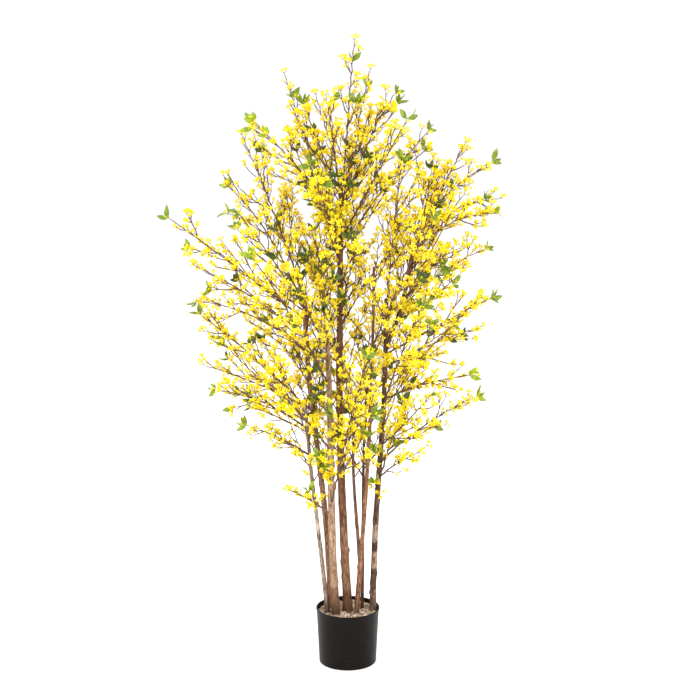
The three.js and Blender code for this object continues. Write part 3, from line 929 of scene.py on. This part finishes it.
def side_twigs(line, share, ways, rng, hue, allowed, spread=1):
    """Twigs to all sides of a line beyond a share of it, where they are allowed and in the crown."""
    count = round(line.length() * (1 - share) / (ways["every"] / spread))
    lengths = spread * np.array(ways["lengths"])
    for i in range(count):
        t = lerp(share, 0.97, (i + rng.random()) / count)
        start = line.point(t)
        angle = math.radians(rng.uniform(*ways["angles"]))
        direction = line.leaving(t, angle, GOLDEN_TURN * i + rng.uniform(-0.5, 0.5))
        full = rng.uniform(*lengths)
        for cut in FINE["filler_cuts"]:
            tested = start + (direction + RISE) * cut * full * np.linspace(0.4, 1, 3)[:, None]
            if in_crown(tested) and allowed(tested):
                break
        else:
            continue
        twig = bent(start, direction, line.tangent(t), cut * full, **TWIG_BEND)
        grow(twig, FINE["twig_radius"], TWIG_SIDES, rng, hue, first=0.2, leafy=0.1, dense=0.85)
        twiglets(twig, rng, hue, first=0.3, scale=0.62)


for index, spray in enumerate(sprays):
    line = spray["line"]
    spread = spray["spread"]
    random = seeded(index + 1)
    rng = np.random.default_rng(SEEDS["sprays"] + index)
    hue = index % HUES
    length = line.length()
    slender = spread < 1
    tip = lerp(line.end, spray["tip"], SLENDER_TIP if slender else FULL_TIP)
    main = Arch(line.start, line.control, tip)
    foot_radius = min(FINE["stem_radius"][0], 0.62 * limb_radius(limbs[spray["limb"]], 0.9))
    radii = foot_radius, FINE["stem_radius"][1]
    leafy = 0 if slender else LEAFY_TIP
    grow(main, radii, STEM_SIDES, rng, hue, FINE["bare_foot"], leafy, dense=0.85)
    if slender:
        leaf_rng = np.random.default_rng(SEEDS["slender_leaves"] + index)
        add_leaves(main.point(SLENDER_LEAF), *main.frame(SLENDER_LEAF)[:2], leaf_rng)
    twiglets(main, rng, hue, first=0.2, scale=spread)
    least, most = GROWTH["twigs"]
    count = min(max(int(length / GROWTH["twig_every"] + 0.5), least), most)
    for i in range(count):
        t = lerp(GROWTH["first_twig"], GROWTH["last_twig"], i / (count - 1))
        angle = math.radians(GROWTH["twig_angle"]) * lerp(0.85, 1.15, next(random))
        full = spread * length * lerp(*GROWTH["twig_length"], t) * lerp(0.8, 1.2, next(random))
        direction = line.leaving(t, angle, math.radians(60 + 120 * (i + index + 1)))
        start = line.point(t)
        for share in GROWTH["cut_back"]:
            end = start + (direction + RISE) * share * full
            tested = lerp(start, end, np.linspace(0.25, 1, 4)[:, None])
            if in_own_space(spray, tested, GROWTH["twig_radius"]):
                break
        else:
            continue
        twig = bent(start, direction, line.tangent(t), 1.12 * share * full, **TWIG_BEND)
        grow(twig, FINE["twig_radius"], TWIG_SIDES, rng, hue, first=0.12, leafy=0.15, dense=0.9)
        twiglets(twig, rng, hue, first=0.25, scale=0.75)
    own = partial(in_own_space, spray, girth=GROWTH["twig_radius"])
    side_twigs(line, 0.12, FILLERS, rng, hue, own, spread)

# Twigs straight out of the stems and boughs, within the crown's middle.
for index, (name, limb) in enumerate(limbs.items()):
    line = limb["line"]
    rng = np.random.default_rng(SEEDS["limbs"] + index)
    first = max(line.share(FINE["limb_twig_lowest"]), 0.1)
    clear = partial(clear_of_limbs, own=name)
    side_twigs(line, first, LIMB_TWIGS, rng, index % HUES, clear)

# Twigs listed where the plant has them: the limb, the height of the foot, and the tip.
SHOOTS = (
    ("stem_main", 900, -110, -110, 1265),
    ("stem_pale", 930, -68, -190, 1208),
    ("stem_brown", 1040, -181, 110, 1378),
    ("stem_main", 1120, -59, -90, 1361),
    ("stem_main", 1010, -105, 150, 1162),
    ("bough_right", 1020, 239, -90, 1485),
    ("bough_right", 1120, 320, 110, 1424),
    ("bough_right", 970, 240, -150, 1251),
    ("stem_main", 1150, -81, -60, 1409),
    ("stem_main", 1090, 46, 40, 1312),
    ("bough_right", 1000, 296, 40, 1256),
    ("stem_grey", 740, -222, -80, 930),
    ("stem_main", 1240, -184, 80, 1486),
    ("stem_main", 1330, -111, -60, 1576),
    ("stem_main", 1290, -161, 40, 1607),
    ("stem_grey", 690, -323, -60, 795),
    ("stem_grey", 585, -222, 60, 683),
    ("stem_right", 575, 150, -70, 706),
    ("stem_pale", 560, -89, -75, 643),
    ("stem_pale", 545, -30, -85, 628),
    ("stem_grey", 560, -147, -60, 611),
    ("stem_brown", 520, -62, -40, 606),
    ("stem_brown", 500, -60, -20, 473),
    ("stem_main", 560, 21, -60, 640),
    ("stem_right", 560, 66, -40, 626),
    ("stem_right", 500, 64, -35, 581),
    ("stem_right", 490, 107, -45, 536),
    ("stem_right", 850, 319, -40, 938),
    ("stem_right", 880, 266, 40, 888),
    ("bough_right", 1200, 264, 60, 1505),
    ("bough_right", 1290, 220, -60, 1442),
    ("stem_main", 1290, 60, 60, 1592),
    ("stem_main", 1240, 23, -60, 1544),
    ("stem_forked", 1000, 53, 60, 1071),
    ("stem_main", 960, 12, 80, 1057),
    ("bough_right", 1040, 298, 60, 1243),
    ("stem_grey", 600, -185, -70, 677),
)
LONG_SHOOT = 150
for index, (limb_name, foot, *tip) in enumerate(SHOOTS):
    rng = np.random.default_rng(SEEDS["shoots"] + index)
    hue = index % HUES
    line = spray_line(limb_name, foot, np.array(tip, float))
    long = line.length() > LONG_SHOOT
    grow(line, FINE["twig_radius"], TWIG_SIDES, rng, hue, first=0.15, leafy=0.2, dense=0.95)
    twiglets(line, rng, hue, first=0.2, scale=1 if long else 0.45)
    if long:
        clear = partial(clear_of_limbs, own=limb_name)
        side_twigs(line, 0.15, SHOOT_TWIGS, rng, hue, clear)


EYE = (0.0065, -3.5, 1.460)
TRUNK_SHOWS = dict(heights=(915, 1180), aside=10, bare=0.8)  # bare: the share of blossoms that goes
PETALS = 4
PETAL_ROWS = ((0, 2.0), (0.4, 3.4), (0.78, 2.6))  # share of its length, half its width
PETAL_LENGTH = 9.6
PETAL_CUP = 0.3
MOUTH = dict(radius=2.5, height=5.8)
THROAT_ROWS = ((-0.5, 1.0), (3.2, 1.7), (7.2, 3.2))  # height, radius
THROAT_SIDES = 6
# A leaf's rows: share of its length, half its width.
LEAF_ROWS = ((0.0, 0.6), (0.1, 1.4), (0.24, 5.4), (0.42, 7.5), (0.62, 6.9), (0.82, 3.9))
LEAF_LENGTH = 36
STRAY_HUES = 0.3  # the share of blossoms that have another tone than their spray
STUB_RADII = np.array((0.8, 0.75, 1.4))
STUB_SIDES = 3


def pointed_faces(rows):
    """The triangles of rows of three points that end in a single one."""
    tip = 3 * rows
    ends = [(tip - 3, tip - 2, tip), (tip - 2, tip - 1, tip)]
    return np.vstack((ring_faces(rows, 3, closed=False), ends))


def petal_shape(lean, curl):
    """Four broad petals that lean out of the throat's mouth and curl back."""
    points, faces = [], []
    up = np.array((0, 0, 1.0))
    for turn in around(PETALS):
        out = np.array((math.cos(turn), math.sin(turn), 0))
        side = np.array((-math.sin(turn), math.cos(turn), 0))
        place = out * MOUTH["radius"] + up * MOUTH["height"]
        base = len(points)
        last = 0
        for share, half in (*PETAL_ROWS, (1, 0)):
            bend = lean + curl * share
            place = place + (out * math.sin(bend) + up * math.cos(bend)) * (share - last) * PETAL_LENGTH
            last = share
            cup = (up * math.sin(bend) - out * math.cos(bend)) * PETAL_CUP * half
            if half:
                points += [place - side * half + cup, place - cup * 0.3, place + side * half + cup]
            else:
                points.append(place)
        faces.append(pointed_faces(len(PETAL_ROWS)) + base)
    return np.array(points), np.concatenate(faces)


def throat_shape():
    """The blossom's funnel, which opens from its stub to its mouth."""
    throat = Piece()
    lathe(throat, [(radius, z) for z, radius in THROAT_ROWS], THROAT_SIDES)
    return throat.points[0], throat.faces[0]


def leaf_shape(arch, fold):
    """An oval, pointed leaf of 36 by 15 mm, with its root at the origin and its line along +Z."""
    points = []
    for share, half in LEAF_ROWS:
        x = arch * (share - share * share) * LEAF_LENGTH
        z = share * LEAF_LENGTH
        points += [(x + fold * half, -half, z), (x, 0, z), (x + fold * half, half, z)]
    points.append((0, 0, LEAF_LENGTH))
    return np.array(points, float), pointed_faces(len(LEAF_ROWS))


flowers = np.array(flowers)
stubs = np.array(stubs)
leaves = np.array(leaves)

# Few blossoms hang before the part of the trunk that shows through the crown.
axis = np.array([limbs["stem_main"]["line"].at_height(z) for z in flowers[:, 2]])
eye = np.array(EYE) / MM
sight = eye + (flowers[:, :3] - eye) * ((axis[:, 1] - eye[1]) / (flowers[:, 1] - eye[1]))[:, None]
before = (flowers[:, 1] < axis[:, 1]) & (abs(sight[:, 0] - axis[:, 0]) < TRUNK_SHOWS["aside"])
low, high = TRUNK_SHOWS["heights"]
before &= (sight[:, 2] > low) & (sight[:, 2] < high)
rng = np.random.default_rng(SEEDS["bare_trunk"])
kept = ~before | (rng.random(len(flowers)) > TRUNK_SHOWS["bare"])
flowers, stubs = flowers[kept], stubs[kept]
petals = [Piece() for _ in range(HUES)]
throats = Piece()
rng = np.random.default_rng(SEEDS["strays"])
hues = flowers[:, 8].astype(int)
strays = rng.random(len(hues)) < STRAY_HUES
hues[strays] = rng.integers(0, HUES, strays.sum())
for variant, opening in enumerate(OPENINGS):
    for hue in range(HUES):
        strew(petals[hue], petal_shape(*opening), flowers[(flowers[:, 9] == variant) & (hues == hue)])
strew(throats, throat_shape(), flowers)

leaf_pieces = [Piece() for _ in range(HUES)]
for variant, bend in enumerate(LEAF_BENDS):
    for hue in range(HUES):
        chosen = (leaves[:, 9] == variant) & (leaves[:, 8] == hue)
        strew(leaf_pieces[hue], leaf_shape(*bend), leaves[chosen])

# The stubs, each bent once and a little stouter at the blossom.
stub_pieces = Piece()
root, elbow, tip = stubs[:, 0], stubs[:, 1], stubs[:, 2]
normal = unit(np.cross(elbow - root, tip - elbow) + 1e-6)
along = unit(np.stack((elbow - root, tip - root, tip - elbow), axis=1))
over = np.cross(along, normal[:, None])
turns = around(STUB_SIDES)
cos, sin = np.cos(turns)[:, None], np.sin(turns)[:, None]
ring = cos * normal[:, None, None] + sin * over[:, :, None]
points = stubs[:, :, None] + ring * STUB_RADII[:, None, None]
rings = len(STUB_RADII)
counts = np.arange(len(stubs)) * rings * STUB_SIDES
stub_pieces.add(points, ring_faces(rings, STUB_SIDES)[None] + counts[:, None, None])

twig_bark = Surface("twig_bark", roughness=0.75, specular=0.3)
mottled = twig_bark.step(twig_bark.noise(130), 0.4, 0.62)
twig_bark.colour(twig_bark.mix(mottled, srgb(84, 57, 47), srgb(124, 92, 74)))
twig_bark.bump(twig_bark.noise(600, detail=3), strength=0.5, depth=0.0006)
twigs.write("twigs", twig_bark.material, "dark_wood", [spray["name"] for spray in sprays])
stub_bark = cloth_material("stub_bark", (112, 80, 44), (80, 54, 38), scale=200, roughness=0.7)
stub_pieces.write("flower_stubs", stub_bark, "dark_wood")

YELLOWS = (
    ((255, 240, 70), (254, 234, 54)),
    ((254, 240, 58), (251, 231, 42)),
    ((252, 233, 46), (249, 221, 32)),
)
# Leaf greens from lit to shaded, as painted shade for leaves deeper in the crown.
GREENS_LIT_TO_SHADED = (
    ((166, 184, 50), (120, 147, 32)),
    ((136, 157, 40), (94, 117, 26)),
    ((86, 102, 29), (52, 66, 20)),
)
for hue in range(HUES):
    look = cloth_material(f"petal_{hue + 1}", *YELLOWS[hue], scale=160, roughness=0.6, specular=0.1)
    petals[hue].write(f"petals_{hue + 1}", look, "blossom")
    look = cloth_material(f"leaf_{hue + 1}", *GREENS_LIT_TO_SHADED[hue], scale=130, roughness=0.45, specular=0.4)
    leaf_pieces[hue].write(f"leaves_{hue + 1}", look, "blossom")
look = cloth_material("throat", (253, 224, 30), (248, 208, 20), scale=200, roughness=0.6)
throats.write("throats", look, "blossom")


# ---- stage, light and camera ----

AIM = (0.0065, 0, 0.923)
LENS = 64.2

bpy.ops.mesh.primitive_plane_add(size=40, location=(0, 0, -0.0005))
floor = bpy.context.object
floor.name = "floor"
ground_look = Surface("pale_floor", roughness=0.9, specular=0.1)
glow = ground_look.shader.inputs
glow["Emission Color"].default_value = (1, 1, 1, 1)
glow["Emission Strength"].default_value = 0.25
cloudy = ground_look.noise(3, detail=2)
ground_look.colour(ground_look.mix(cloudy, srgb(250, 250, 250), srgb(247, 247, 247)))
floor.data.materials.append(ground_look.material)

scene = bpy.context.scene
scene.view_settings.view_transform = "Standard"
world = bpy.data.worlds.new("studio")
world.use_nodes = True
background = world.node_tree.nodes["Background"].inputs
background["Color"].default_value = (1, 1, 1, 1)
background["Strength"].default_value = 1.03
scene.world = world


def put(name, data, place, aim):
    """A light or a camera at its place, turned to its aim."""
    thing = bpy.data.objects.new(name, data)
    thing.location = place
    thing.rotation_euler = (Vector(aim) - Vector(place)).to_track_quat("-Z", "Y").to_euler()
    scene.collection.objects.link(thing)
    return thing


def area_light(name, place, aim, size, power):
    data = bpy.data.lights.new(name, "AREA")
    data.shape = "SQUARE"
    data.size = size
    data.energy = power
    put(name, data, place, aim)


area_light("key_light", place=(2.4, -2.8, 3.0), aim=(0, 0, 0.9), size=1.8, power=90)
area_light("fill_light", place=(-2.8, -2.4, 2.2), aim=(0, 0, 0.9), size=2.4, power=56)
area_light("back_light", place=(-0.9, 2.8, 3.4), aim=(0, 0, 1.0), size=1.8, power=60)

lens = bpy.data.cameras.new("camera")
lens.lens = LENS
lens.sensor_width = 36
scene.camera = put("camera", lens, EYE, AIM)
